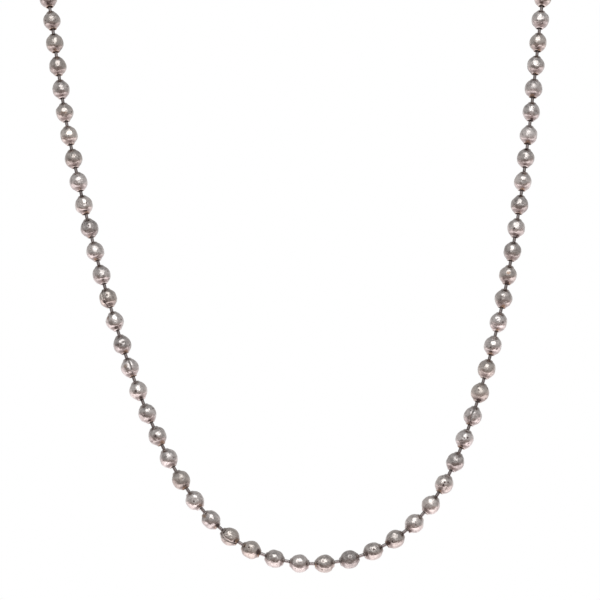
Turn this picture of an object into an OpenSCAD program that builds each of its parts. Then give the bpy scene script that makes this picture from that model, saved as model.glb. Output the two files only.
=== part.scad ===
// Ball chain necklace: hollow beads rolled from strip, dumbbell pins between them, and a coupling sleeve.
// The origin is where the chain hangs on the nape. The front hangs towards -Y, +Z is up, millimetres.

/* [Balls] */
// Outside diameter of a ball
ball_d = 3.2; // [3:0.05:3.6]
// Thickness of the strip that a ball is rolled from
ball_wall = 0.25; // [0.18:0.01:0.3]
// How far each half of a ball is drawn out along its axis
half_shift = 0.1; // [0.05:0.01:0.15]
// Height of the neck round each hole, above the round of the ball
neck_h = 0.13; // [0.08:0.01:0.18]
// Width of the flat edge round each hole
neck_edge = 0.1; // [0.06:0.01:0.16]
// Width of the lengthwise seam, from hole to hole
seam_w = 0.12; // [0.06:0.02:0.24]

/* [Pins] */
// Diameter of a pin's wire
wire_d = 0.58; // [0.45:0.01:0.65]
// Space between a pin's wire and the edge of a ball's hole, all round
hole_gap = 0.26; // [0.24:0.01:0.32]
// How far the round head at each end of a pin stands out past the edge of its hole
head_lip = 0.08; // [0.05:0.01:0.11]
// Play between a pin's head and the inside of its ball
head_gap = 0.16; // [0.14:0.01:0.18]
// Space between the rounds of two neighbouring balls
link_gap = 1.15; // [0.95:0.05:1.6]

/* [Clasp] */
// Thickness of the sleeve's wall
sleeve_wall = 0.35; // [0.25:0.05:0.5]
// Space between the end balls and the sleeve
sleeve_gap = 0.2; // [0.15:0.05:0.3]
// Length of the sleeve's tapered ends
sleeve_taper = 0.8; // [0.5:0.1:1]
// Free length between the two end balls
sleeve_room = 2.4; // [1.6:0.1:4]
// Space between the wire and the edge of the hole in the sleeve's end
mouth_gap = 0.5; // [0.45:0.05:0.65]
// Space between the wire and each side of the slot
slot_gap = 0.2; // [0.12:0.02:0.3]
// Space between a ball and the entry in the sleeve's side
entry_gap = 0.15; // [0.12:0.01:0.2]

/* [Hidden] */
$fn = 72;

// Spare length of a tool that cuts right through
over = 1;
// Balls whose seams show at the front: number from the nape, and turn from straight ahead in degrees
SHOWN_SEAMS = [[43, 30], [46, -14], [54, 24], [67, -13]];
// The other seams face the wearer, give or take this many degrees
seam_spread = 50;
// Step of their scatter in degrees: the golden angle, so no two neighbours look alike
seam_step = 137.5;

// Guide points of the loop, from the nape down the left side, along the front and back up the right side
ROUTE = [
    [0, 1, 0.5],
    [-16, -2, -1],
    [-29, -10, -2.5],
    [-40.5, -22, -7.5],
    [-47.5, -38.5, -12],
    [-51, -57, -14.5],
    [-50.5, -74.5, -21.5],
    [-48.5, -86.5, -32],
    [-45, -92.5, -45.5],
    [-43, -95.5, -62.5],
    [-38.5, -99.5, -82.5],
    [-32.5, -103.5, -104],
    [-25, -107.5, -124],
    [-14, -110.5, -141],
    [2, -111.5, -146],
    [17, -110, -141.5],
    [26.5, -107.5, -130.5],
    [33.5, -103, -109.5],
    [38, -99, -89.5],
    [41, -94.5, -69.5],
    [43, -91.5, -52],
    [45, -87, -35],
    [50, -76, -22],
    [51.5, -57.5, -13.5],
    [49.5, -38.5, -9],
    [42, -21.5, -5.5],
    [30, -9.5, -3.5],
    [16, -2, -1]
];

// Stretches that each span of the route is measured in
span_steps = 24;

// How far inside the round a neck's slope passes, so that the two cross at an edge
neck_sink = 0.03;

// Ball: two half rounds with a straight band between them, and a cone drawn out of each round its hole
ball_r = ball_d / 2;
wire_r = wire_d / 2;
hole_r = wire_r + hole_gap;
tip_r = hole_r + neck_edge;
tip_rise = sqrt(pow(ball_r, 2) - pow(tip_r, 2)) + neck_h;
tip_z = half_shift + tip_rise;
inside_r = ball_r - ball_wall;
// Angle from the ball's axis to the line that stands square on the neck's slope
neck_angle = atan2(tip_r, tip_rise) + acos((ball_r - neck_sink) / norm([tip_r, tip_rise]));
// Height of the hole's inner edge above the ball's middle, with the same wall along the neck
hole_inner_z = half_shift + (inside_r - neck_sink - hole_r * sin(neck_angle)) / cos(neck_angle);

// Pin: its head clears the inside of the neck by the play, and the hole's inner edge too
head_r = hole_r + head_lip;
head_room = head_r + head_gap;
head_to_neck = half_shift + (inside_r - neck_sink - head_room) / cos(neck_angle);
head_to_hole = hole_inner_z - sqrt(max(0, pow(head_room, 2) - pow(hole_r, 2)));
head_z = min(head_to_neck, head_to_hole);

// Sleeve: round the end balls, whose middles stand end_z to each side of its own middle
end_z = tip_z + sleeve_room / 2;
sleeve_in_r = ball_r + sleeve_gap;
sleeve_out_r = sleeve_in_r + sleeve_wall;
sleeve_in_z = end_z + tip_z + sleeve_gap;
sleeve_out_z = sleeve_in_z + sleeve_wall;
mouth_r = wire_r + mouth_gap;
slot_w = wire_d + 2 * slot_gap;
entry_r = ball_r + entry_gap;

// A point of the smooth closed curve that the guide points steer, at u spans from the first
function guide(i) = ROUTE[(i + len(ROUTE)) % len(ROUTE)];
function blend(a, b, c, d, t) =
    (pow(1 - t, 3) * a + (3 * pow(t, 3) - 6 * pow(t, 2) + 4) * b
    + (-3 * pow(t, 3) + 3 * pow(t, 2) + 3 * t + 1) * c + pow(t, 3) * d) / 6;
function route_point(u) =
    let (i = floor(u))
    blend(guide(i - 1), guide(i), guide(i + 1), guide(i + 2), u - i);

// How far along the loop each step lies, as pairs of length and spans
last_step = len(ROUTE) * span_steps;
steps = [for (k = [0:last_step]) route_point(k / span_steps)];
lengths = [
    for (k = 0, s = 0; k <= last_step; k = k + 1, s = s + norm(steps[min(k, last_step)] - steps[k - 1])) s
];
walk = [for (k = [0:last_step]) [lengths[k], k / span_steps]];
loop_length = lengths[last_step];

// Balls at even steps from one end of the sleeve to the other: the play in the links takes up the rest
ball_run = loop_length - 2 * end_z;
ball_count = round(ball_run / (ball_d + link_gap)) + 1;
pitch = ball_run / (ball_count - 1);
centres = [for (i = [0:ball_count - 1]) route_point(lookup(end_z + i * pitch, walk))];
function centre(i) = centres[(i + ball_count) % ball_count];

// Turn about b that brings a seam round to the direction w, for a ball that stands along b
function turn_to(b, w) =
    let (flat = [b.x, b.y, 0])
    atan2((flat * flat * w.z - flat * w * b.z) / norm(b), b.x * w.y - b.y * w.x);

// Turn of the seam of ball i, which stands along b
mid_y = (max([for (p = ROUTE) p.y]) + min([for (p = ROUTE) p.y])) / 2;
function seam_turn(i, b) =
    let (shown = search(i, SHOWN_SEAMS), c = centre(i))
    len(shown) > 0
    ? turn_to(b, [0, -1, 0]) + SHOWN_SEAMS[shown[0]][1]
    : turn_to(b, [-c.x, mid_y - c.y, 0]) + seam_spread * sin(i * seam_step);

// Stands children's Z axis at a, along b
module stand(a, b) {
    translate(a)
        rotate([0, acos(b.z / norm(b)), atan2(b.y, b.x)])
            children();
}

// Outline of two half rounds with a band between them, and a neck that slopes up from each round's shoulder
module necked_outline(r, top_r, top) {
    foot_x = (r - neck_sink) * sin(neck_angle);
    foot_y = half_shift + (r - neck_sink) * cos(neck_angle);
    square([2 * r, 2 * half_shift], center = true);
    for (side = [-1, 1])
        translate([0, side * half_shift])
            circle(r = r);
    polygon([
        [0, -top], [top_r, -top], [foot_x, -foot_y],
        [foot_x, foot_y], [top_r, top], [0, top]
    ]);
}

// One bead, hollow and open along its seam
module ball() {
    reach = tip_z + over;
    difference() {
        rotate_extrude()
            difference() {
                necked_outline(ball_r, tip_r, tip_z);
                necked_outline(inside_r, hole_r, hole_inner_z);
                translate([-reach, -reach])
                    square([reach + hole_r, 2 * reach]);
            }
        translate([-seam_w / 2, 0, -reach])
            cube([seam_w, reach, 2 * reach]);
    }
}

// One dumbbell pin, its wire as long as the way between two ball middles allows
module pin(span) {
    translate([0, 0, head_z])
        cylinder(h = span - 2 * head_z, r = wire_r);
    for (z = [head_z, span - head_z])
        translate([0, 0, z])
            sphere(r = head_r);
}

// Tube with tapered ends, closed by flat faces
module sleeve_form(r, half) {
    straight = half - sleeve_taper;
    cylinder(h = 2 * straight, r = r, center = true);
    for (side = [0, 1])
        mirror([0, 0, side])
            translate([0, 0, straight])
                cylinder(h = sleeve_taper, r1 = r, r2 = r - sleeve_taper);
}

module balls() {
    color([0.76, 0.74, 0.71])
        for (i = [0:ball_count - 1]) {
            along = centre(i + 1) - centre(i - 1);
            stand(centre(i), along)
                rotate([0, 0, seam_turn(i, along)])
                    ball();
        }
}

module pins() {
    color([0.48, 0.45, 0.43])
        for (i = [0:ball_count - 2])
            stand(centre(i), centre(i + 1) - centre(i))
                pin(norm(centre(i + 1) - centre(i)));
}

// The end balls go in through the round entry, and their wires slide along the slot to the mouths
module clasp() {
    first = centre(0);
    last = centre(-1);
    color([0.72, 0.7, 0.67])
        stand((first + last) / 2, last - first)
            difference() {
                sleeve_form(sleeve_out_r, sleeve_out_z);
                sleeve_form(sleeve_in_r, sleeve_in_z);
                cylinder(h = 2 * (sleeve_out_z + over), r = mouth_r, center = true);
                translate([-slot_w / 2, 0, -sleeve_out_z - over])
                    cube([slot_w, sleeve_out_r + over, 2 * (sleeve_out_z + over)]);
                rotate([-90, 0, 0])
                    cylinder(h = sleeve_out_r + over, r = entry_r);
            }
}

balls();
pins();
clasp();
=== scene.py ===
"""Worn ball chain necklace: hollow balls, dumbbell pins and a coupling sleeve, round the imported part."""

import logging
import math
import random
from collections.abc import Callable, Iterable, Sequence
from dataclasses import dataclass
from enum import Enum

import bmesh
import bpy
from mathutils import Matrix, Vector, noise

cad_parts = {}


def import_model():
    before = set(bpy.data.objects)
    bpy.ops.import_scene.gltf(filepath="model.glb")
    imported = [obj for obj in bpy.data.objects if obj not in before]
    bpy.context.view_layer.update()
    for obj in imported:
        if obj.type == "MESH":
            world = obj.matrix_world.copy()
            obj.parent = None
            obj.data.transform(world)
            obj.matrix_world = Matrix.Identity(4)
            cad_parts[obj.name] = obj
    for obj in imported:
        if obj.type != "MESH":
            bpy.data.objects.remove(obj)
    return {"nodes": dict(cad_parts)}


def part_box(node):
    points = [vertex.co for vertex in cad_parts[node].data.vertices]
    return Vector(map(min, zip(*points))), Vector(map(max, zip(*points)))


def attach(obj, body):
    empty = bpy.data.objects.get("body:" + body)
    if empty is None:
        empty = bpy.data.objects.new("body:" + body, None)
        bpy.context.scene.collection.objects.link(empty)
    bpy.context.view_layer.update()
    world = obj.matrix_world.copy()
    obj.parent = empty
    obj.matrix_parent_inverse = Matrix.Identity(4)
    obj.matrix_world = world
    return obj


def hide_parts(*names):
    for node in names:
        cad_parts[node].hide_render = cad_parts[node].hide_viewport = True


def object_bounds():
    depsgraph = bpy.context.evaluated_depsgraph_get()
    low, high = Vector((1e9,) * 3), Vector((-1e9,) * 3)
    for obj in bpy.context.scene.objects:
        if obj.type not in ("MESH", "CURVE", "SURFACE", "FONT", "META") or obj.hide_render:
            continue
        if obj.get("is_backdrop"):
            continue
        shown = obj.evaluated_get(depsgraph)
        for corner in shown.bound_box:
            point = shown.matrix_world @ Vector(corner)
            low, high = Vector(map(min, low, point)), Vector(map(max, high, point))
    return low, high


# Three numbers, such as a place, a scale or a colour
Triple = tuple[float, float, float]
Colour = Triple
# Points of a section, as radius and height
Outline = list[tuple[float, float]]
# Where a smooth rise is 0 and where it is 1, which may be the lower of the two
Rise = tuple[float, float]

LOG = logging.getLogger("ball_chain")
MM = 0.001
FRONT = Vector((0.0, -1.0, 0.0))
# Half of the narrow gap that a rolled piece has at +Y until it is opened, as an angle
ROLL_GAP = math.radians(2.0)
# Detail and roughness of noise with few small features in it, and with many
SMOOTH = (1.0, 0.5)
RAGGED = (3.0, 0.6)
# Attributes that hold the dark spots charted on a ball, one spot each
SPOT_LAYERS = ("spot_1", "spot_2", "spot_3")


def smooth_step(low: float, high: float, value: float) -> float:
    """An even S-curve from 0 at low to 1 at high, which may lie below low."""
    t = min(1.0, max(0.0, (value - low) / (high - low)))
    return t * t * (3.0 - 2.0 * t)


class Val:
    """One output socket of a shader node. Arithmetic on it adds Math nodes."""

    def __init__(self, shader: "Shader", socket: "bpy.types.NodeSocket | None") -> None:
        """Keeps the socket with the shader that it belongs to."""
        self.shader = shader
        self.socket = socket

    def math(self, operation: str, *others: "Val | float", clamp: bool = False) -> "Val":
        """Adds a Math node on this value.

        Args:
            operation: The Math node's operation.
            others: The operation's other values.
            clamp: Whether the result stays between 0 and 1.

        Returns:
            The node's result.
        """
        settings = {"operation": operation, "use_clamp": clamp}
        return self.shader.add("ShaderNodeMath", settings, dict(enumerate((self, *others))))

    def __add__(self, other: "Val | float") -> "Val":
        """Sum."""
        return self.math("ADD", other)

    def __sub__(self, other: "Val | float") -> "Val":
        """Difference."""
        return self.math("SUBTRACT", other)

    def __rsub__(self, other: float) -> "Val":
        """A number less this value."""
        return self.shader.add("ShaderNodeMath", {"operation": "SUBTRACT"}, {0: other, 1: self})

    def __mul__(self, other: "Val | float") -> "Val":
        """Product."""
        return self.math("MULTIPLY", other)

    def __abs__(self) -> "Val":
        """Size without sign."""
        return self.math("ABSOLUTE")

    __radd__ = __add__
    __rmul__ = __mul__

    def most(self, other: "Val | float") -> "Val":
        """The larger of two values."""
        return self.math("MAXIMUM", other)

    def held(self) -> "Val":
        """This value kept between 0 and 1."""
        return self.math("ADD", 0.0, clamp=True)

    def step(self, low: float, high: float) -> "Val":
        """A smooth rise over this value.

        Args:
            low: Where it is 0.
            high: Where it is 1, which may lie below low.

        Returns:
            The share, from 0 to 1.
        """
        settings = {"interpolation_type": "SMOOTHSTEP"}
        places = {"Value": self, "From Min": low, "From Max": high, "To Min": 0.0, "To Max": 1.0}
        if low > high:
            places |= {"From Min": high, "From Max": low, "To Min": 1.0, "To Max": 0.0}
        return self.shader.add("ShaderNodeMapRange", settings, places)

    def other(self, name: str) -> "Val":
        """Another output of the same node."""
        return Val(self.shader, self.shader.find(self.socket.node.outputs, name))


class Shader:
    """A node tree that is filled by expressions."""

    def __init__(self, tree: bpy.types.NodeTree) -> None:
        """Takes the tree and empties it."""
        self.tree = tree
        self.tree.nodes.clear()

    @staticmethod
    def find(sockets: Sequence[bpy.types.NodeSocket], key: str | int) -> bpy.types.NodeSocket:
        """Finds one of a node's sockets.

        Args:
            sockets: The node's inputs or its outputs.
            key: The socket's number, identifier or name.

        Returns:
            The socket.
        """
        if isinstance(key, int):
            return sockets[key]
        named = [s for s in sockets if s.identifier == key] or [s for s in sockets if s.name == key]
        return named[0]

    def add(self, kind: str, settings: dict, inputs: dict, output: str | int = 0) -> Val:
        """Adds a node.

        Args:
            kind: The node's type.
            settings: Its properties, which are set first; stops are those of its colour ramp.
            inputs: The value or link of each socket, by name or number.
            output: The output that is returned.

        Returns:
            The output, which holds no socket where the node has none.
        """
        node = self.tree.nodes.new(kind)
        for name, value in settings.items():
            if name == "stops":
                self.fill_ramp(node.color_ramp, value)
            else:
                setattr(node, name, value)
        for key, value in inputs.items():
            socket = self.find(node.inputs, key)
            if isinstance(value, Val):
                self.tree.links.new(value.socket, socket)
            else:
                socket.default_value = value
        return Val(self, self.find(node.outputs, output) if len(node.outputs) else None)

    @staticmethod
    def fill_ramp(ramp: bpy.types.ColorRamp, stops: list[tuple[float, Colour]]) -> None:
        """Puts stops on a colour ramp.

        Args:
            ramp: A new ramp, with the two stops that it comes with.
            stops: The place and colour of each stop, two or more.
        """
        while len(ramp.elements) < len(stops):
            ramp.elements.new(1.0)
        for element, (place, colour) in zip(ramp.elements, stops, strict=True):
            element.position = place
            element.color = (*colour, 1.0)

    def mix(self, share: Val | float, a: Val | Colour, b: Val | Colour) -> Val:
        """Colour a with b laid over it by that share."""
        places = {"Factor_Float": share, "A_Color": self.colour(a), "B_Color": self.colour(b)}
        return self.add("ShaderNodeMix", {"data_type": "RGBA"}, places, "Result_Color")

    @staticmethod
    def colour(value: Val | Colour) -> Val | tuple[float, ...]:
        """A colour with its alpha, or the link as it is."""
        return value if isinstance(value, Val) else (*value, 1.0)

    def attribute(self, name: str, output: str = "Fac") -> Val:
        """An attribute that the piece's mesh carries."""
        return self.add("ShaderNodeAttribute", {"attribute_name": name}, {}, output)

    def place(self) -> Val:
        """Where the point lies on the object, in metres."""
        return self.add("ShaderNodeTexCoord", {}, {}, "Object")

    def stretched(self, place: Val, scale: Triple) -> Val:
        """The place with each axis scaled by itself."""
        return self.add("ShaderNodeMapping", {}, {"Vector": place, "Scale": scale})

    def grain(self, place: Val, size: float, detail: float = 2.0, rough: float = 0.5) -> Val:
        """Soft noise from 0 to 1 with features of that size in metres."""
        places = {"Vector": place, "Scale": 1.0 / size, "Detail": detail, "Roughness": rough}
        return self.add("ShaderNodeTexNoise", {}, places)

    def parts(self, vector: Val) -> list[Val]:
        """The three numbers of a vector."""
        x = self.add("ShaderNodeSeparateXYZ", {}, {"Vector": vector}, "X")
        return [x, x.other("Y"), x.other("Z")]


def new_material(name: str) -> tuple[bpy.types.Material, Shader]:
    """Starts a material.

    Args:
        name: The material's name.

    Returns:
        The material, and its node tree, which is empty.
    """
    material = bpy.data.materials.new(name)
    material.use_nodes = True
    return material, Shader(material.node_tree)


def close_material(shader: Shader, places: dict) -> None:
    """Ends a material in one surface with these sockets."""
    surface = shader.add("ShaderNodeBsdfPrincipled", {}, places)
    shader.add("ShaderNodeOutputMaterial", {}, {"Surface": surface})


@dataclass(frozen=True)
class Coat:
    """What is laid over metal: its colour, how well it covers, how rough, deep and unlike metal it is."""

    colour: Colour
    cover: float
    rough: float = 0.0
    depth: float = 0.0
    dull: float = 0.0


@dataclass
class MetalSurface:
    """A metal surface in the making, which coats are laid on one after the other."""

    shader: Shader
    colour: Val
    rough: Val
    height: Val
    metallic: Val | float = 1.0

    def lay(self, mask: Val, coat: Coat) -> None:
        """Lays a coat on.

        Args:
            mask: Where the coat lies, from 0 to 1.
            coat: What it does there.
        """
        self.colour = self.shader.mix(mask * coat.cover, self.colour, coat.colour)
        if coat.rough:
            self.rough += mask * coat.rough
        if coat.depth:
            self.height -= mask * coat.depth
        if coat.dull:
            self.metallic = (self.metallic - mask * coat.dull).held()

    def close(self, relief: float) -> None:
        """Ends the material in this surface.

        Args:
            relief: How far a height of 1 stands out, in metres.
        """
        places = {"Strength": 1.0, "Distance": relief, "Height": self.height}
        close_material(self.shader, {
            "Base Color": self.colour,
            "Metallic": self.metallic,
            "Roughness": self.rough.held(),
            "Normal": self.shader.add("ShaderNodeBump", {}, places),
        })


# Brown-black of the pits, the creases, old tarnish and the charted spots
GRIME: Colour = (0.085, 0.050, 0.046)


@dataclass(frozen=True)
class BeadMetal:
    """Polished metal of the balls: worn, finely scratched and pitted, brown where it is tarnished, with
    painted shade round the necks.

    Lengths in metres, but the painted neck shade's in millimetres from a hole's edge, as its attribute is.
    """

    dark: Colour = (0.36, 0.335, 0.325)
    light: Colour = (0.90, 0.85, 0.83)
    warm: Colour = (0.74, 0.66, 0.58)
    blotch: float = 0.8 * MM
    fine: float = 0.16 * MM
    wave: float = 0.85 * MM
    knock: float = 0.40 * MM
    scratch: float = 0.06 * MM
    scratch_run: Triple = (1.0, 0.9, 0.12)
    # Shares in the tone, over a floor
    ball_tone: float = 0.55
    blotch_tone: float = 2.1
    fine_tone: float = 1.2
    tone_floor: float = 1.385
    warmth: float = 0.9
    # Roughness, and what makes it rougher
    shine: float = 0.19
    dulling: float = 0.20
    fine_dulling: float = 0.2
    # Relief, and heights in it
    bump: float = 0.15 * MM
    knock_height: float = 0.2
    fine_height: float = 0.06
    scratch_height: float = 0.02
    pit: float = 0.8 * MM
    pit_reach: Rise = (0.32, 0.14)
    pit_chance: Rise = (0.50, 0.56)
    pit_fray: float = 0.4
    pit_least: float = 0.3
    pit_coat: Coat = Coat(GRIME, cover=0.7, depth=0.2)
    crease: float = 1.1 * MM
    crease_reach: Rise = (0.030, 0.0)
    crease_blotch: Rise = (0.50, 0.58)
    crease_coat: Coat = Coat(GRIME, cover=0.6, depth=0.12)
    # Painted shade round the necks, where the neighbouring pins and balls shade the wall: darkest from 0.2
    # to 0.4 mm from a hole's edge, gone by about 0.8 mm
    neck_shade_reach: Rise = (0.77, 0.42)
    neck_shade_start: Rise = (0.05, 0.20)
    neck_shade_fray: float = 0.4
    neck_shade_coat: Coat = Coat((0.20, 0.162, 0.152), cover=0.82)
    # Tarnish, frayed by the fine and the blotchy grains
    fine_fray: float = 0.7
    blotch_fray: float = 0.5
    tint: Rise = (0.25, 0.50)
    tint_coat: Coat = Coat((0.38, 0.25, 0.17), cover=0.85, rough=0.2, dull=0.15)
    black: Rise = (0.60, 0.90)
    black_coat: Coat = Coat(GRIME, cover=0.95, depth=0.08, dull=0.5)
    spot_edge: Rise = (-0.06 * MM, 0.08 * MM)
    spot_fray: float = 0.35 * MM
    spot_coat: Coat = Coat(GRIME, cover=0.88, rough=0.2, depth=0.15, dull=0.4)

    def spots(self, shader: Shader, place: Val, fine: Val) -> Val:
        """The dark spots that stand charted on single balls.

        Args:
            shader: The material's nodes.
            place: Where the point lies.
            fine: Noise that frays the spots' edges.

        Returns:
            How much of a spot there is, from 0 to 1.
        """
        found = []
        for name in SPOT_LAYERS:
            middle = shader.attribute(name, "Vector")
            ends = {0: place, 1: middle}
            away = shader.add("ShaderNodeVectorMath", {"operation": "DISTANCE"}, ends, "Value")
            edge = middle.other("Alpha") - away + (fine - 0.5) * self.spot_fray
            found.append(edge.step(*self.spot_edge))
        return found[0].most(found[1]).most(found[2])

    def material(self) -> bpy.types.Material:
        """Builds the finish.

        Returns:
            The material, which reads the balls' tone, tarnish, painted neck shade and spot attributes.
        """
        material, shader = new_material("worn_bead_metal")
        place = shader.place()
        blotch = shader.grain(place, self.blotch, *RAGGED)
        fine = shader.grain(place, self.fine, *RAGGED)
        contour = shader.grain(place, self.crease, *SMOOTH)
        creases = abs(contour - 0.5).step(*self.crease_reach) * blotch.step(*self.crease_blotch)
        places = {"Vector": place, "Scale": 1.0 / self.pit}
        cells = shader.add("ShaderNodeTexVoronoi", {}, places, "Distance")
        chance, depth, _ = shader.parts(cells.other("Color"))
        pits = (cells + (fine - 0.5) * self.pit_fray).step(*self.pit_reach) * chance.step(*self.pit_chance)
        pits = pits * (depth * (1.0 - self.pit_least) + self.pit_least)
        from_hole = shader.attribute("from_hole")
        # Painted shade round the necks, where the neighbouring pins and balls shade the wall
        neck_shade = (from_hole + (blotch - 0.5) * self.neck_shade_fray).step(*self.neck_shade_reach)
        neck_shade = neck_shade * from_hole.step(*self.neck_shade_start) * shader.attribute("neck_shade_side")
        tarnish = shader.attribute("tarnish") + (fine - 0.5) * self.fine_fray
        tarnish = tarnish + (blotch - 0.5) * self.blotch_fray

        lightness, warmth, dullness = shader.parts(shader.attribute("ball_tone", "Vector"))
        tone = lightness * self.ball_tone + blotch * self.blotch_tone + fine * self.fine_tone
        metal = shader.mix((tone - self.tone_floor).held(), self.dark, self.light)
        metal = shader.mix((warmth * blotch * self.warmth).held(), metal, self.warm)
        rough = self.shine + dullness * self.dulling + (fine - 0.5) * self.fine_dulling
        knocks = shader.grain(place, self.knock, *SMOOTH) * self.knock_height
        height = shader.grain(place, self.wave, *SMOOTH) + knocks + fine * self.fine_height
        scratches = shader.grain(shader.stretched(place, self.scratch_run), self.scratch)
        surface = MetalSurface(shader, metal, rough, height + scratches * self.scratch_height)
        surface.lay(pits, self.pit_coat)
        surface.lay(creases, self.crease_coat)
        surface.lay(neck_shade, self.neck_shade_coat)
        surface.lay(tarnish.step(*self.tint), self.tint_coat)
        surface.lay(tarnish.step(*self.black), self.black_coat)
        surface.lay(self.spots(shader, place, fine), self.spot_coat)
        surface.close(self.bump)
        return material


@dataclass(frozen=True)
class PinMetal:
    """Drawn steel wire of the pins: dull, with brown ends where it runs into the balls, grime with painted
    shade, and painted lighter where it lies level. In metres.
    """

    light: Colour = (0.52, 0.475, 0.47)
    dark: Colour = (0.14, 0.115, 0.108)
    fine: float = 0.16 * MM
    broad: float = 1.28 * MM
    # Shares in the tone of the grains and of how level the pin lies, over a floor; the level share is
    # painted light, lighter on level pins than on upright ones
    broad_tone: float = 0.8
    fine_tone: float = 0.5
    level_painted_light: float = 0.7
    tone_floor: float = 0.38
    shine: float = 0.32
    fine_dulling: float = 0.18
    bump: float = 0.012 * MM
    # Grime and painted shade at the ends, where the pins run into the balls, over the way from the pin's
    # middle to the holes
    ends: Rise = (0.60, 1.15)
    end_fray: float = 0.5
    end_grime_and_shade_coat: Coat = Coat((0.050, 0.030, 0.027), cover=0.8, rough=0.25, dull=0.4)

    def material(self) -> bpy.types.Material:
        """Builds the finish.

        Returns:
            The material, which reads the pins' reach and level attributes.
        """
        material, shader = new_material("dull_pin_wire")
        place = shader.place()
        fine = shader.grain(place, self.fine, *RAGGED)
        tone = shader.grain(place, self.broad) * self.broad_tone + fine * self.fine_tone
        # Painted light: pins that lie level are painted lighter than upright ones
        tone = tone + shader.attribute("pin_level") * self.level_painted_light - self.tone_floor
        metal = shader.mix(tone.held(), self.dark, self.light)
        reach = shader.attribute("pin_reach") + (fine - 0.5) * self.end_fray
        surface = MetalSurface(shader, metal, self.shine + fine * self.fine_dulling, fine)
        # Grime with painted shade where the pin runs into the balls
        surface.lay(reach.step(*self.ends), self.end_grime_and_shade_coat)
        surface.close(self.bump)
        return material


@dataclass(frozen=True)
class SleeveMetal:
    """Polished sheet of the coupling sleeve, lightly worn along its length. Lengths in metres."""

    light: Colour = (0.70, 0.66, 0.63)
    dark: Colour = (0.46, 0.42, 0.40)
    rub: float = 0.12 * MM
    rub_run: Triple = (0.08, 1.0, 1.0)
    blotch: float = 1.44 * MM
    # Shares in the tone, over a floor
    blotch_tone: float = 0.9
    rub_tone: float = 0.4
    tone_floor: float = 0.15
    shine: float = 0.20
    rub_dulling: float = 0.2
    bump: float = 0.01 * MM
    # Grime inside it and at its mouths
    grimy: Rise = (0.45, 0.95)
    grime_fray: float = 0.9
    grime_coat: Coat = Coat((0.10, 0.065, 0.05), cover=0.85, rough=0.3, dull=0.4)

    def material(self) -> bpy.types.Material:
        """Builds the finish.

        Returns:
            The material, with scratches that run along the sleeve.
        """
        material, shader = new_material("rolled_sleeve_metal")
        place = shader.place()
        rubbed = shader.grain(shader.stretched(place, self.rub_run), self.rub, *RAGGED)
        blotch = shader.grain(place, self.blotch, *RAGGED)
        tone = blotch * self.blotch_tone + rubbed * self.rub_tone - self.tone_floor
        metal = shader.mix(tone.held(), self.dark, self.light)
        grime = shader.attribute("tarnish") + (blotch - 0.5) * self.grime_fray
        surface = MetalSurface(shader, metal, self.shine + (rubbed - 0.5) * self.rub_dulling, rubbed)
        surface.lay(grime.step(*self.grimy), self.grime_coat)
        surface.close(self.bump)
        return material


@dataclass(frozen=True)
class Stand:
    """Where a ball, a pin or the sleeve stands: a point, and the direction of its own Z axis."""

    foot: Vector
    along: Vector

    def matrix(self) -> Matrix:
        """Puts local Z along the direction, with local Y level.

        Returns:
            The matrix from the stand's own axes to the row frame.
        """
        lean = Matrix.Rotation(math.acos(self.along.z / self.along.length), 4, "Y")
        swing = Matrix.Rotation(math.atan2(self.along.y, self.along.x), 4, "Z")
        return Matrix.Translation(self.foot) @ swing @ lean

    def local(self, direction: Vector) -> Vector:
        """A direction of the row frame in this stand's own axes."""
        return self.matrix().to_3x3().transposed() @ direction

    def turn_to(self, direction: Vector) -> float:
        """Turn about the own Z axis that brings local +Y round to the direction."""
        seen = self.local(direction)
        return math.atan2(-seen.x, seen.y)


def box_middle(points: Iterable[Vector]) -> Vector:
    """The middle of the box round some points."""
    return Vector([(min(c) + max(c)) / 2.0 for c in zip(*points, strict=True)])


class ChainLayout:
    """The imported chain: the middle of each ball in order, from one end of the sleeve to the other."""

    def __init__(self, balls: bpy.types.Object, low: Vector, high: Vector) -> None:
        """Finds the balls.

        Args:
            balls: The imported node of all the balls.
            low: The lowest corner of the sleeve's box.
            high: The highest corner of the sleeve's box.
        """
        sleeve = (low + high) / 2.0
        loose = self.island_middles(balls.data)
        ends = sorted(loose, key=lambda middle: (middle - sleeve).length)[:2]
        here = min(ends, key=lambda middle: middle.x)
        self.middles: list[Vector] = []
        while loose:
            here = min(loose, key=lambda middle: (middle - here).length)
            loose.remove(here)
            self.middles.append(here)
        self.loop_middle = box_middle(self.middles)

    @staticmethod
    def island_middles(mesh: bpy.types.Mesh, merge: float = 0.001 * MM) -> list[Vector]:
        """The middle of the box of each solid in a mesh of loose triangles.

        Args:
            mesh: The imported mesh, which stays as it is.
            merge: How near two corners count as one.

        Returns:
            The middles, in no set order.
        """
        bm = bmesh.new()
        bm.from_mesh(mesh)
        bmesh.ops.remove_doubles(bm, verts=bm.verts, dist=merge)
        todo = set(bm.verts)
        middles = []
        while todo:
            rim = [todo.pop()]
            corners = []
            while rim:
                vert = rim.pop()
                corners.append(vert.co)
                fresh = {edge.other_vert(vert) for edge in vert.link_edges} & todo
                todo -= fresh
                rim.extend(fresh)
            middles.append(box_middle(corners))
        bm.free()
        return middles

    def __len__(self) -> int:
        """How many balls there are."""
        return len(self.middles)

    def middle(self, number: int) -> Vector:
        """The middle of a ball, where the numbers run on round the loop."""
        return self.middles[number % len(self)]

    def ball(self, number: int) -> Stand:
        """Where a ball stands, its axis along the line between its neighbours."""
        return Stand(self.middle(number), self.middle(number + 1) - self.middle(number - 1))

    def pin(self, number: int) -> Stand:
        """Where the pin after a ball stands, from that ball's middle to the next one's."""
        return Stand(self.middle(number), self.middle(number + 1) - self.middle(number))

    def sleeve(self) -> Stand:
        """Where the sleeve stands, between the first ball and the last."""
        first, last = self.middle(0), self.middle(-1)
        return Stand((first + last) / 2.0, last - first)

    def inward(self, number: int) -> Vector:
        """The level direction from a ball to the middle of the loop."""
        way = self.loop_middle - self.middle(number)
        return Vector((way.x, way.y, 0.0))


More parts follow.
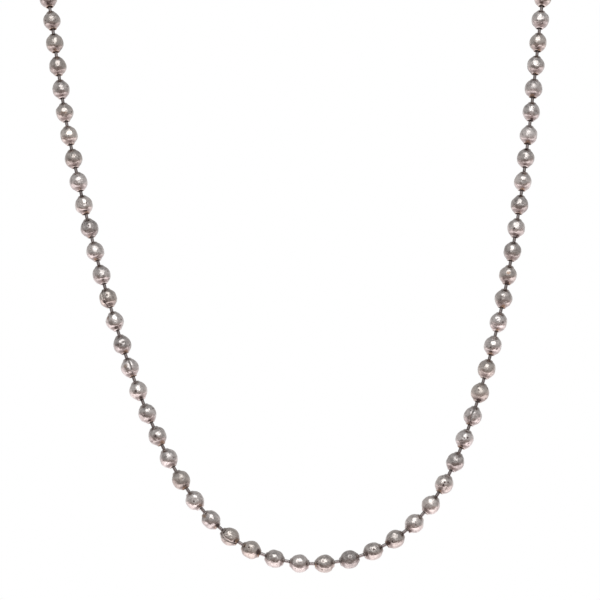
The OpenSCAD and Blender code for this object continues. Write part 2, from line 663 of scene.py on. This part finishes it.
def roll(section: Outline, closed: bool, segments: int) -> bmesh.types.BMesh:
    """Rolls a section round the Z axis, with a narrow gap at +Y.

    Args:
        section: Radius and height of each point.
        closed: Whether the section is a ring, whose two ends are then capped.
        segments: Faces round the axis.

    Returns:
        A mesh with its gap ROLL_GAP to each side of +Y.
    """
    bm = bmesh.new()
    corners = [bm.verts.new((-r * math.sin(ROLL_GAP), r * math.cos(ROLL_GAP), z)) for r, z in section]
    pairs = list(zip(corners, corners[1:] + corners[:1]))
    edges = [bm.edges.new(pair) for pair in pairs[: None if closed else -1]]
    bmesh.ops.spin(
        bm, geom=corners + edges, cent=(0, 0, 0), axis=(0, 0, 1), dvec=(0, 0, 0),
        angle=math.tau - 2.0 * ROLL_GAP, steps=segments, use_merge=False,
    )
    if closed:
        bmesh.ops.holes_fill(bm, edges=[edge for edge in bm.edges if edge.is_boundary], sides=0)
    return bm


def open_gap(bm: bmesh.types.BMesh, half_gap: Callable[[float], float]) -> None:
    """Draws the walls beside a rolled mesh's gap apart, and the rest of the wall along with them.

    Args:
        bm: The mesh that roll gave.
        half_gap: Half the gap's width at a height.
    """
    for vert in bm.verts:
        x, y, z = vert.co
        radius = math.hypot(x, y)
        edge = math.asin(min(1.0, half_gap(z) / radius))
        share = (math.atan2(-x, y) % math.tau - ROLL_GAP) / (math.tau - 2.0 * ROLL_GAP)
        turn = edge + share * (math.tau - 2.0 * edge)
        vert.co = (-radius * math.sin(turn), radius * math.cos(turn), z)


def finish_piece(
    bm: bmesh.types.BMesh, name: str, material: bpy.types.Material, node: str
) -> None:
    """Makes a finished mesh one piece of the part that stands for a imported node.

    Args:
        bm: The piece's mesh, in the row frame. It is freed.
        name: The piece's name.
        material: Its finish.
        node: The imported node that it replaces.
    """
    mesh = bpy.data.meshes.new(name)
    bm.to_mesh(mesh)
    bm.free()
    mesh.materials.append(material)
    piece = bpy.data.objects.new(name, mesh)
    bpy.context.scene.collection.objects.link(piece)
    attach(piece, "root")
    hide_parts(node)
    mesh.calc_loop_triangles()
    LOG.info("%s: %d triangles for node %s", name, len(mesh.loop_triangles), node)


class Kind(Enum):
    """What a mark on a ball is."""

    DENT = "dent"
    TINT = "tint"
    STAIN = "stain"
    PIT = "pit"


@dataclass(frozen=True)
class Mark:
    """A mark on the front of one ball, placed as it is seen from the front.

    ball is the ball's number from the nape, right and up its place in ball radii. Sizes in millimetres.
    fade is where the mark starts to fade and where it ends, in half widths from its middle.
    """

    ball: int
    kind: Kind
    right: float
    up: float
    width: float
    height: float
    depth: float = 0.05
    fade: Rise = (0.1, 1.3)

    def nearness(self, seen: Vector, radius: float) -> float:
        """How much of the mark falls on a point.

        Args:
            seen: The point's direction from the ball's middle, in the row frame.
            radius: The ball's radius in metres.

        Returns:
            A share from 0 to 1.
        """
        if seen.y > 0.0:
            return 0.0
        aside = (seen.x - self.right) * radius / (self.width / 2.0 * MM)
        above = (seen.z - self.up) * radius / (self.height / 2.0 * MM)
        return 1.0 - smooth_step(*self.fade, math.hypot(aside, above))

    def spot(self, middle: Vector, radius: float) -> tuple[float, float, float, float]:
        """The mark as a round spot.

        Args:
            middle: The ball's middle in the row frame.
            radius: The ball's radius in metres.

        Returns:
            The spot's middle on the ball, and its radius.
        """
        ahead = math.sqrt(max(0.0, 1.0 - self.right**2 - self.up**2))
        place = middle + radius * Vector((self.right, -ahead, self.up))
        return (*place, (self.width + self.height) / 4.0 * MM)


MARKS = (
    Mark(32, Kind.TINT, 0.13, -0.72, 0.9, 0.7),
    Mark(35, Kind.TINT, 0.00, -0.05, 2.2, 0.8),
    Mark(36, Kind.DENT, 0.16, 0.12, 0.5, 1.0, 0.06),
    Mark(39, Kind.DENT, -0.27, -0.05, 0.8, 0.5, 0.06),
    Mark(40, Kind.PIT, -0.05, 0.30, 0.4, 0.4),
    Mark(41, Kind.TINT, 0.10, -0.80, 1.1, 0.6),
    Mark(43, Kind.PIT, -0.05, 0.36, 0.4, 0.4),
    Mark(43, Kind.STAIN, -0.30, -0.40, 0.9, 0.4),
    Mark(44, Kind.TINT, -0.70, 0.34, 0.9, 1.0),
    Mark(44, Kind.PIT, 0.14, -0.72, 0.4, 0.3),
    Mark(46, Kind.TINT, -0.40, 0.20, 1.2, 1.4),
    Mark(47, Kind.PIT, -0.25, 0.00, 0.5, 0.5),
    Mark(47, Kind.STAIN, 0.34, -0.78, 0.8, 0.5),
    Mark(48, Kind.DENT, -0.32, -0.05, 1.0, 1.0, 0.07),
    Mark(48, Kind.STAIN, -0.30, -0.12, 0.5, 0.4),
    Mark(49, Kind.PIT, -0.18, 0.05, 0.6, 0.4),
    Mark(49, Kind.TINT, 0.52, -0.55, 1.2, 1.2),
    Mark(51, Kind.DENT, 0.13, 0.05, 0.9, 0.7, 0.06),
    Mark(52, Kind.PIT, -0.09, 0.00, 0.5, 0.4),
    Mark(52, Kind.TINT, 0.60, -0.40, 0.9, 0.8),
    Mark(53, Kind.TINT, -0.68, 0.41, 1.1, 1.0),
    Mark(53, Kind.STAIN, 0.70, -0.52, 0.7, 0.7),
    Mark(55, Kind.PIT, -0.24, 0.34, 0.4, 0.4),
    Mark(55, Kind.STAIN, 0.78, -0.16, 0.9, 1.0),
    Mark(55, Kind.DENT, 0.00, 0.05, 1.3, 0.5, 0.06),
    Mark(56, Kind.PIT, -0.27, -0.88, 0.4, 0.3),
    Mark(56, Kind.DENT, 0.10, -0.10, 1.2, 0.7, 0.06),
    Mark(58, Kind.DENT, -0.05, 0.30, 1.2, 0.6, 0.05),
    Mark(59, Kind.DENT, -0.05, -0.05, 1.2, 0.8, 0.08),
    Mark(60, Kind.PIT, 0.05, 0.32, 0.5, 0.4),
    Mark(61, Kind.PIT, -0.32, -0.14, 0.5, 0.4),
    Mark(61, Kind.STAIN, -0.74, -0.34, 0.7, 0.7),
    Mark(62, Kind.PIT, 0.14, -0.88, 0.4, 0.3),
    Mark(62, Kind.STAIN, -0.50, -0.70, 0.7, 0.6),
    Mark(63, Kind.DENT, -0.40, -0.08, 0.9, 0.6, 0.06),
    Mark(64, Kind.PIT, 0.00, 0.27, 0.4, 0.35),
    Mark(64, Kind.PIT, -0.14, -0.05, 0.5, 0.4),
    Mark(64, Kind.PIT, 0.41, 0.27, 0.35, 0.35),
    Mark(65, Kind.STAIN, -0.41, -0.80, 0.8, 0.5),
    Mark(66, Kind.PIT, 0.27, 0.23, 0.45, 0.35),
    Mark(66, Kind.DENT, 0.70, -0.10, 0.8, 1.2, 0.07),
    Mark(68, Kind.STAIN, -0.15, -0.78, 1.0, 0.6),
    Mark(68, Kind.DENT, 0.41, -0.60, 0.9, 0.7, 0.06),
    Mark(69, Kind.DENT, -0.27, 0.50, 0.9, 0.4, 0.05),
    Mark(69, Kind.DENT, 0.23, 0.18, 0.8, 0.4, 0.05),
    Mark(70, Kind.DENT, 0.00, 0.80, 1.2, 0.6, 0.07),
    Mark(70, Kind.PIT, -0.32, -0.18, 0.5, 0.35),
    Mark(70, Kind.PIT, 0.41, -0.32, 0.4, 0.35),
    Mark(71, Kind.PIT, 0.45, 0.02, 0.4, 0.35),
    Mark(71, Kind.TINT, -0.14, -0.77, 0.9, 0.6),
    Mark(72, Kind.PIT, -0.41, -0.14, 0.45, 0.35),
    Mark(73, Kind.TINT, -0.05, 0.25, 1.4, 1.0),
    Mark(73, Kind.STAIN, -0.20, -0.80, 1.0, 0.6),
    Mark(74, Kind.DENT, 0.36, 0.09, 0.8, 0.5, 0.05),
    Mark(75, Kind.PIT, -0.32, -0.05, 0.5, 0.4),
    Mark(75, Kind.STAIN, 0.05, -0.85, 0.9, 0.6),
    Mark(77, Kind.TINT, 0.18, 0.81, 0.9, 0.5),
    Mark(80, Kind.DENT, 0.36, -0.23, 0.9, 0.5, 0.06),
    Mark(80, Kind.STAIN, 0.00, -0.85, 0.9, 0.5),
    Mark(82, Kind.DENT, 0.40, -0.45, 1.0, 0.9, 0.06),
)
# Balls that are dull all over
DULL_BALLS = (51, 68, 79, 81)
# Turn of each seam that the photograph shows, in degrees from straight ahead, by the ball's number
SHOWN_SEAMS = {43: 30.0, 46: -14.0, 54: 24.0, 67: -13.0}


@dataclass
class BallShells:
    """The hollow balls: rolled from strip, with a neck at each hole, a seam and marks. Sizes in metres."""

    layout: ChainLayout
    radius: float = 1.6 * MM
    wall: float = 0.25 * MM
    hole: float = 0.55 * MM
    rim: float = 0.65 * MM
    half_shift: float = 0.1 * MM
    top: float = 1.692 * MM
    shoulder: float = 1.408 * MM
    inner_shoulder: float = 1.217 * MM
    neck_inside: float = 1.435 * MM
    lip: float = 0.02 * MM
    seam: float = 0.06 * MM
    seam_flare: float = 0.08 * MM
    flare_from: float = 1.0 * MM
    segments: int = 27
    outer_steps: int = 5
    inner_steps: int = 2
    # Scatter of the seams that face the wearer, and its step from ball to ball, in degrees
    seam_spread: float = 50.0
    seam_step: float = 137.5
    # Shallow waves in the wall, and how deep a mark is sunk for each unit of its depth
    ripple: float = 0.085 * MM
    ripple_size: float = 1.3 * MM
    ripple_rise: Rise = (-0.4, 0.4)
    ripple_shift: float = 50.0
    sinking: float = 1.4
    # Tarnish at the holes, in ball radii, and how strong it is; hang is what pointing down adds
    creep: float = 0.02
    drip: float = 0.15
    drip_hang: float = 0.05
    drip_range: tuple[float, float] = (0.2, 1.6)
    drip_lean: float = 0.5
    drip_point: int = 6
    stretch: float = 2.2
    level: float = 0.6
    level_hang: float = 0.25
    tint_level: float = 0.52
    # Painted shade round the necks: its least share, at the sides, its level, and what pointing down adds
    neck_shade_least: float = 0.3
    neck_shade_level: float = 0.85
    neck_shade_hang: float = 0.4
    light_range: tuple[float, float] = (0.1, 1.0)
    warm_power: float = 1.5
    dullness: float = 0.5
    full_dullness: float = 0.9
    seed: int = 3

    def section(self) -> Outline:
        """The wall's outline, round from the lower shoulder over the outside and back.

        Returns:
            Its points.
        """
        outer = self.rounds(self.radius, self.shoulder, self.outer_steps)
        inner = self.rounds(self.radius - self.wall, self.inner_shoulder, self.inner_steps)
        slope = ((outer[-1][0] + self.rim + self.lip) / 2.0, (self.shoulder + self.top - self.lip) / 2.0)
        neck = [
            slope,
            (self.rim + self.lip, self.top - self.lip),
            (self.rim - self.lip, self.top),
            (self.hole + self.lip, self.top),
            (self.hole, self.top - self.lip),
            (self.hole, self.neck_inside),
        ]
        low_neck = [(r, -z) for r, z in reversed(neck)]
        return outer + neck + inner[::-1] + low_neck

    def rounds(self, radius: float, height: float, steps: int) -> Outline:
        """The two half rounds and the band between them.

        Args:
            radius: Radius of the rounds.
            height: How far they reach above the middle, and below it too.
            steps: Stretches in each of them.

        Returns:
            Their points, from the lowest to the highest.
        """
        end = math.asin((height - self.half_shift) / radius)
        turns = [end * k / steps for k in range(steps + 1)]
        upper = [(radius * math.cos(t), self.half_shift + radius * math.sin(t)) for t in turns]
        return [(r, -z) for r, z in reversed(upper)] + upper

    def seam_turn(self, number: int) -> float:
        """Turns a ball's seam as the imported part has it.

        Args:
            number: The ball's number from the nape.

        Returns:
            The seam's turn about the ball's axis, from level.
        """
        stand = self.layout.ball(number)
        if number in SHOWN_SEAMS:
            return stand.turn_to(FRONT) + math.radians(SHOWN_SEAMS[number])
        scatter = self.seam_spread * math.sin(math.radians(number * self.seam_step))
        return stand.turn_to(self.layout.inward(number)) + math.radians(scatter)

    def place(self, number: int) -> Matrix:
        """Where a ball stands, turned so that its seam faces the right way."""
        return self.layout.ball(number).matrix() @ Matrix.Rotation(self.seam_turn(number), 4, "Z")

    def half_gap(self, height: float) -> float:
        """Half the seam's width at a height: a little more towards the holes."""
        flare = smooth_step(self.flare_from, self.top, abs(height))
        return self.seam / 2.0 + self.seam_flare / 2.0 * flare

    def shell(self) -> bmesh.types.BMesh:
        """Rolls one ball and opens its seam.

        Returns:
            The ball in its own axes, with its seam at +Y.
        """
        bm = roll(self.section(), True, self.segments)
        open_gap(bm, self.half_gap)
        bmesh.ops.recalc_face_normals(bm, faces=bm.faces)
        for face in bm.faces:
            face.smooth = len(face.verts) == 4
        return bm

    def rippled(self, place: Vector, shift: Vector) -> float:
        """How far the waves sink a point of the wall, where shift sets this ball's waves apart."""
        wave = noise.noise(place / self.ripple_size + shift)
        share = smooth_step(*self.ripple_rise, wave) * smooth_step(self.top, self.shoulder, abs(place.z))
        return self.ripple * share

    def wear(self, bm: bmesh.types.BMesh, number: int, chance: random.Random) -> None:
        """Dents and tarnishes one ball in its own axes.

        Args:
            bm: The ball's mesh, with the layers that build gives it.
            number: The ball's number from the nape.
            chance: The source of what differs from ball to ball.
        """
        tone_layer = bm.verts.layers.float_vector["ball_tone"]
        tarnish_layer = bm.verts.layers.float["tarnish"]
        hole_layer = bm.verts.layers.float["from_hole"]
        neck_shade_layer = bm.verts.layers.float["neck_shade_side"]
        seen_from = self.place(number).to_3x3()
        down = -seen_from[2][2]
        front = seen_from.transposed() @ FRONT
        front_turn = math.atan2(front.y, front.x)
        ends = (-1, 1)
        creep = {end: self.radius * chance.uniform(0.0, self.creep) for end in ends}
        hang = {end: self.drip + self.drip_hang * max(0.0, end * down) for end in ends}
        drip = {end: self.radius * hang[end] * chance.uniform(*self.drip_range) for end in ends}
        lean = {end: front_turn + chance.uniform(-self.drip_lean, self.drip_lean) for end in ends}
        level = {end: chance.uniform(0.0, self.level + self.level_hang * end * down) for end in ends}
        shift = Vector([chance.uniform(-self.ripple_shift, self.ripple_shift) for _ in range(3)])
        dull = self.full_dullness if number in DULL_BALLS else self.dullness * chance.random() ** 2
        look = Vector((chance.uniform(*self.light_range), chance.random() ** self.warm_power, dull))
        marks = [mark for mark in MARKS if mark.ball == number]
        middle = self.layout.middle(number)
        spots = [mark.spot(middle, self.radius) for mark in marks if mark.kind in (Kind.STAIN, Kind.PIT)]
        spot_layers = [bm.verts.layers.float_color[name] for name in SPOT_LAYERS]
        for vert in bm.verts:
            way = vert.co.normalized()
            rise = max(0.0, abs(vert.co.z) - self.half_shift)
            outside = math.hypot(vert.co.x, vert.co.y, rise) > self.radius - self.wall / 4.0
            end = 1 if vert.co.z > 0 else -1
            turn = math.atan2(vert.co.y, vert.co.x)
            from_hole = self.top - abs(vert.co.z)
            # Painted shade round the necks: strongest towards the front and the back, least at the sides
            facing = self.neck_shade_least + (1.0 - self.neck_shade_least) * math.cos(turn - front_turn) ** 2
            dripping = drip[end] * max(0.0, math.cos(turn - lean[end])) ** self.drip_point
            stained = 1.0 - smooth_step(0.0, self.stretch * (creep[end] + dripping), from_hole)
            stain = level[end] * stained
            sunk = self.rippled(vert.co, shift) if outside else 0.0
            for mark in marks:
                near = mark.nearness(seen_from @ way, self.radius)
                if mark.kind is Kind.TINT:
                    stain = max(stain, near * self.tint_level)
                if mark.kind in (Kind.DENT, Kind.PIT) and outside:
                    sunk += self.sinking * mark.depth * MM * near
            vert[tone_layer] = look
            vert[tarnish_layer] = stain if outside else 1.0
            vert[hole_layer] = from_hole / MM
            # Painted shade round the necks, more at the neck that hangs lower
            vert[neck_shade_layer] = facing * (self.neck_shade_level + self.neck_shade_hang * end * down)
            for layer, spot in zip(spot_layers, spots):
                vert[layer] = spot
            vert.co -= way * sunk

    def build(self) -> bmesh.types.BMesh:
        """Builds and wears each ball.

        Returns:
            All the balls in one mesh, in the row frame.
        """
        template = self.shell()
        template.verts.layers.float_vector.new("ball_tone")
        for name in ("tarnish", "from_hole", "neck_shade_side"):
            template.verts.layers.float.new(name)
        for name in SPOT_LAYERS:
            template.verts.layers.float_color.new(name)
        chance = random.Random(self.seed)
        whole = bmesh.new()
        step = bpy.data.meshes.new("ball_step")
        for number in range(len(self.layout)):
            ball = template.copy()
            self.wear(ball, number, chance)
            bmesh.ops.transform(ball, matrix=self.place(number), verts=ball.verts)
            ball.to_mesh(step)
            whole.from_mesh(step)
            ball.free()
        template.free()
        bpy.data.meshes.remove(step)
        return whole


@dataclass
class LinkPins:
    """The dumbbell pins that join neighbouring balls. Sizes in metres."""

    layout: ChainLayout
    wire: float = 0.29 * MM
    head: float = 0.63 * MM
    head_place: float = 0.867 * MM
    ball_top: float = BallShells.top
    merge: float = 0.0005 * MM
    segments: int = 14
    head_steps: int = 7
    wire_steps: int = 4

    def section(self, span: float) -> Outline:
        """The outline of one pin.

        Args:
            span: The way between the middles of the two balls.

        Returns:
            Its points, from one head's end to the other's.
        """
        pole = -math.pi / 2.0
        foot = math.acos(self.wire / self.head)
        turns = [pole + (foot - pole) * k / self.head_steps for k in range(self.head_steps + 1)]
        low = [(self.head * math.cos(t), self.head_place + self.head * math.sin(t)) for t in turns]
        start = low[-1][1]
        step = (span - 2.0 * start) / self.wire_steps
        shank = [(self.wire, start + step * k) for k in range(1, self.wire_steps)]
        return low + shank + [(r, span - z) for r, z in reversed(low)]

    def build(self) -> bmesh.types.BMesh:
        """Spins each pin where it stands.

        Returns:
            All the pins in one mesh, in the row frame.
        """
        whole = bmesh.new()
        reach = whole.verts.layers.float.new("pin_reach")
        level = whole.verts.layers.float.new("pin_level")
        for number in range(len(self.layout) - 1):
            stand = self.layout.pin(number)
            span = stand.along.length
            before = set(whole.verts)
            corners = [whole.verts.new((r, 0.0, z)) for r, z in self.section(span)]
            edges = [whole.edges.new(pair) for pair in zip(corners, corners[1:])]
            bmesh.ops.spin(
                whole, geom=corners + edges, cent=(0, 0, 0), axis=(0, 0, 1), dvec=(0, 0, 0),
                angle=math.tau, steps=self.segments, use_merge=True,
            )
            fresh = [vert for vert in whole.verts if vert not in before]
            bmesh.ops.remove_doubles(whole, verts=fresh, dist=self.merge)
            fresh = [vert for vert in whole.verts if vert not in before]
            for vert in fresh:
                vert[reach] = abs(vert.co.z - span / 2.0) / (span / 2.0 - self.ball_top)
                # How level the pin lies, which the finish turns into painted light
                vert[level] = 1.0 - abs(stand.along.z) / span
            bmesh.ops.transform(whole, matrix=stand.matrix(), verts=fresh)
        bmesh.ops.recalc_face_normals(whole, faces=whole.faces)
        for face in whole.faces:
            face.smooth = True
        return whole


@dataclass
class CouplingSleeve:
    """The sleeve that holds the two end balls: rolled sheet with tapered ends, a slot and a round entry.

    Sizes in metres. Its inside is tarnished, from inner_share of the wall on, and its mouths a little.
    """

    layout: ChainLayout
    radius: float = 2.15 * MM
    wall: float = 0.35 * MM
    half_length: float = 5.134 * MM
    taper: float = 0.8 * MM
    mouth: float = 0.79 * MM
    slot: float = 0.98 * MM
    entry: float = 1.75 * MM
    edge: float = 0.05 * MM
    sharp_angle: float = 0.6
    inner_share: float = 0.8
    mouth_tarnish: float = 0.6
    segments: int = 56
    entry_steps: int = 12

    def section(self) -> Outline:
        """The outer skin's outline, with rows that follow the round entry.

        Returns:
            Its points, from the lower mouth to the upper one.
        """
        straight = self.half_length - self.taper
        between = (straight + self.entry) / 2.0
        turns = [math.pi * (k / self.entry_steps - 0.5) for k in range(self.entry_steps + 1)]
        rows = [-straight, -between, *(self.entry * math.sin(t) for t in turns), between, straight]
        end = [(self.radius - self.taper, self.half_length), (self.mouth, self.half_length)]
        return [(r, -z) for r, z in reversed(end)] + [(self.radius, z) for z in rows] + end

    def half_gap(self, height: float) -> float:
        """Half the opening's width at a height: the slot, or the round entry where that is wider."""
        return max(self.slot / 2.0, math.sqrt(max(0.0, self.entry**2 - height**2)))

    def build(self) -> bmesh.types.BMesh:
        """Rolls the skin, opens it, gives it its wall and rounds its edges.

        Returns:
            The sleeve in the row frame.
        """
        bm = roll(self.section(), False, self.segments)
        open_gap(bm, self.half_gap)
        bmesh.ops.recalc_face_normals(bm, faces=bm.faces)
        middle_face = min(bm.faces, key=lambda face: face.calc_center_median().y)
        if middle_face.normal.y > 0:
            bmesh.ops.reverse_faces(bm, faces=bm.faces)
        bmesh.ops.solidify(bm, geom=bm.faces, thickness=self.wall)
        inner = [edge for edge in bm.edges if len(edge.link_faces) == 2]
        sharp = [edge for edge in inner if edge.calc_face_angle() > self.sharp_angle]
        bmesh.ops.bevel(
            bm, geom=sharp, offset=self.edge, affect="EDGES", segments=2, profile=0.5, material=-1,
        )
        tarnish = bm.verts.layers.float.new("tarnish")
        inside = self.radius - self.wall * self.inner_share
        for vert in bm.verts:
            at_mouth = smooth_step(self.half_length - self.taper, self.half_length, abs(vert.co.z))
            within = math.hypot(vert.co.x, vert.co.y) < inside and at_mouth < 0.5
            vert[tarnish] = 1.0 if within else self.mouth_tarnish * at_mouth
        for face in bm.faces:
            face.smooth = True
        bmesh.ops.transform(bm, matrix=self.layout.sleeve().matrix(), verts=bm.verts)
        return bm


@dataclass
class Studio:
    """Pale floor, soft lights, a plain surround and the camera."""

    eye: Triple = (0.0, -0.511, -0.099)
    lens: float = 139.3
    sensor: float = 36.0
    shift: tuple[float, float] = (-0.0008, 0.0009)
    key_place: Triple = (0.012, -0.401, 0.185)
    key_size: float = 0.36
    key_power: float = 0.54
    aim: Triple = (0.0, -0.10, -0.08)
    floor_drop: float = 0.18
    floor_radius: float = 0.85
    floor_segments: int = 96
    floor_speckle: float = 2.0 * MM
    floor_dark: Colour = (0.83, 0.82, 0.81)
    floor_light: Colour = (0.87, 0.86, 0.85)
    floor_rough: float = 0.9
    # What the metal mirrors of the room, by the angle above level
    room: tuple[tuple[float, Colour], ...] = (
        (-90.0, (0.30, 0.243, 0.225)),
        (-46.0, (0.265, 0.214, 0.199)),
        (-34.0, (0.265, 0.214, 0.199)),
        (-20.0, (0.33, 0.268, 0.252)),
        (-9.0, (0.39, 0.342, 0.327)),
        (2.0, (0.46, 0.44, 0.435)),
        (30.0, (0.52, 0.51, 0.505)),
        (50.0, (0.42, 0.415, 0.415)),
        (90.0, (0.40, 0.395, 0.395)),
    )
    # A pale wall behind the object
    backdrop: Colour = (0.80, 0.775, 0.775)
    backdrop_ahead: Rise = (0.10, 0.80)
    backdrop_up: Rise = (0.30, 0.05)
    # A dark shape on the camera's side of the room
    dark_tone: Colour = (0.14, 0.11, 0.10)
    dark_place: tuple[float, float] = (-0.64, -0.08)
    dark_spread: float = 0.34
    dark_ahead: Rise = (-0.2, -0.5)
    dark_cover: float = 0.6
    # A pale table below, whose front edge is bent and which darkens to its sides
    table: Colour = (1.18, 1.075, 1.09)
    table_edge: Colour = (1.66, 1.49, 1.50)
    table_fade: Rise = (0.55, 1.25)
    table_slope: float = 1.15
    table_below: Rise = (-0.02, -0.42)
    side_tone: Colour = (0.0, 0.0, 0.0)
    side_fall: float = 0.36
    edge_bend: float = 0.16
    edge_rise: Rise = (-0.18, 0.10)
    # What the camera itself sees behind the object
    page: Colour = (1.0, 1.0, 1.0)

    def world(self) -> None:
        """A grey room with a pale table below, a pale backdrop, and plain white behind the object."""
        world = bpy.data.worlds.new("plain_surround")
        world.use_nodes = True
        bpy.context.scene.world = world
        shader = Shader(world.node_tree)
        way = shader.add("ShaderNodeTexCoord", {}, {}, "Generated")
        across, ahead, up = shader.parts(way)
        stops = [((math.sin(math.radians(angle)) + 1.0) / 2.0, colour) for angle, colour in self.room]
        room = shader.add("ShaderNodeValToRGB", {"stops": stops}, {"Fac": up * 0.5 + 0.5})
        behind = ahead.step(*self.backdrop_ahead) * up.step(*self.backdrop_up)
        room = shader.mix(behind, room, self.backdrop)
        aside, below = across - self.dark_place[0], up - self.dark_place[1]
        dim = (aside * aside + below * below).step(self.dark_spread**2, 0.0)
        room = shader.mix(dim * ahead.step(*self.dark_ahead) * self.dark_cover, room, self.dark_tone)
        reach = ahead * self.table_slope - up
        table = shader.mix(reach.step(*self.table_fade), self.table_edge, self.table)
        table = shader.mix((across * across * self.side_fall).held(), table, self.side_tone)
        edge = (reach - across * across * self.edge_bend).step(*self.edge_rise)
        room = shader.mix(edge * up.step(*self.table_below), room, table)
        lit = shader.add("ShaderNodeBackground", {}, {"Color": room})
        plain = shader.add("ShaderNodeBackground", {}, {"Color": shader.colour(self.page)})
        direct = shader.add("ShaderNodeLightPath", {}, {}, "Is Camera Ray")
        both = shader.add("ShaderNodeMixShader", {}, {0: direct, 1: lit, 2: plain})
        shader.add("ShaderNodeOutputWorld", {}, {"Surface": both})

    def softbox(self) -> None:
        """A square lamp above the camera, turned to the chain."""
        light = bpy.data.lights.new("key_softbox", "AREA")
        light.shape = "SQUARE"
        light.size = self.key_size
        light.energy = self.key_power
        lamp = bpy.data.objects.new("key_softbox", light)
        lamp.location = self.key_place
        way = Vector(self.aim) - Vector(self.key_place)
        lamp.rotation_euler = way.to_track_quat("-Z", "Y").to_euler()
        lamp.visible_camera = False
        bpy.context.scene.collection.objects.link(lamp)

    def floor(self, low: float) -> None:
        """Lays a pale round floor below the chain, which its polish doesn't mirror.

        Args:
            low: Height of the chain's lowest point.
        """
        bm = bmesh.new()
        bmesh.ops.create_circle(bm, cap_ends=True, segments=self.floor_segments, radius=self.floor_radius)
        bmesh.ops.translate(bm, verts=bm.verts, vec=(0.0, self.aim[1], low - self.floor_drop))
        mesh = bpy.data.meshes.new("pale_floor")
        bm.to_mesh(mesh)
        bm.free()
        material, shader = new_material("pale_matt_floor")
        speckle = shader.grain(shader.place(), self.floor_speckle)
        colour = shader.mix(speckle, self.floor_dark, self.floor_light)
        close_material(shader, {"Base Color": colour, "Roughness": self.floor_rough})
        mesh.materials.append(material)
        ground = bpy.data.objects.new("pale_floor", mesh)
        ground.visible_glossy = False
        bpy.context.scene.collection.objects.link(ground)
        ground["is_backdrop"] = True

    def camera(self) -> None:
        """The camera, level and square on as the photograph was taken."""
        data = bpy.data.cameras.new("photo_camera")
        data.lens = self.lens
        data.sensor_width = self.sensor
        data.shift_x, data.shift_y = self.shift
        eye = bpy.data.objects.new("photo_camera", data)
        eye.location = self.eye
        eye.rotation_euler = (math.pi / 2.0, 0.0, 0.0)
        bpy.context.scene.collection.objects.link(eye)
        bpy.context.scene.camera = eye

    def build(self, low: float) -> None:
        """Sets the whole studio round the chain.

        Args:
            low: Height of the chain's lowest point.
        """
        bpy.context.scene.view_settings.view_transform = "Standard"
        self.camera()
        self.world()
        self.softbox()
        self.floor(low)


def main() -> None:
    """Builds the studio and dresses the chain piece by piece."""
    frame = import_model()
    cad_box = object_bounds()
    low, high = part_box("clasp")
    layout = ChainLayout(frame["nodes"]["balls"], low, high)
    LOG.info("chain of %d balls", len(layout))
    Studio().build(cad_box[0][2])
    finish_piece(BallShells(layout).build(), "ball_shells", BeadMetal().material(), "balls")
    finish_piece(LinkPins(layout).build(), "link_pins", PinMetal().material(), "pins")
    sleeve = CouplingSleeve(layout).build()
    finish_piece(sleeve, "coupling_sleeve", SleeveMetal().material(), "clasp")


if __name__ == "__main__":
    logging.basicConfig(level=logging.INFO)
    main()
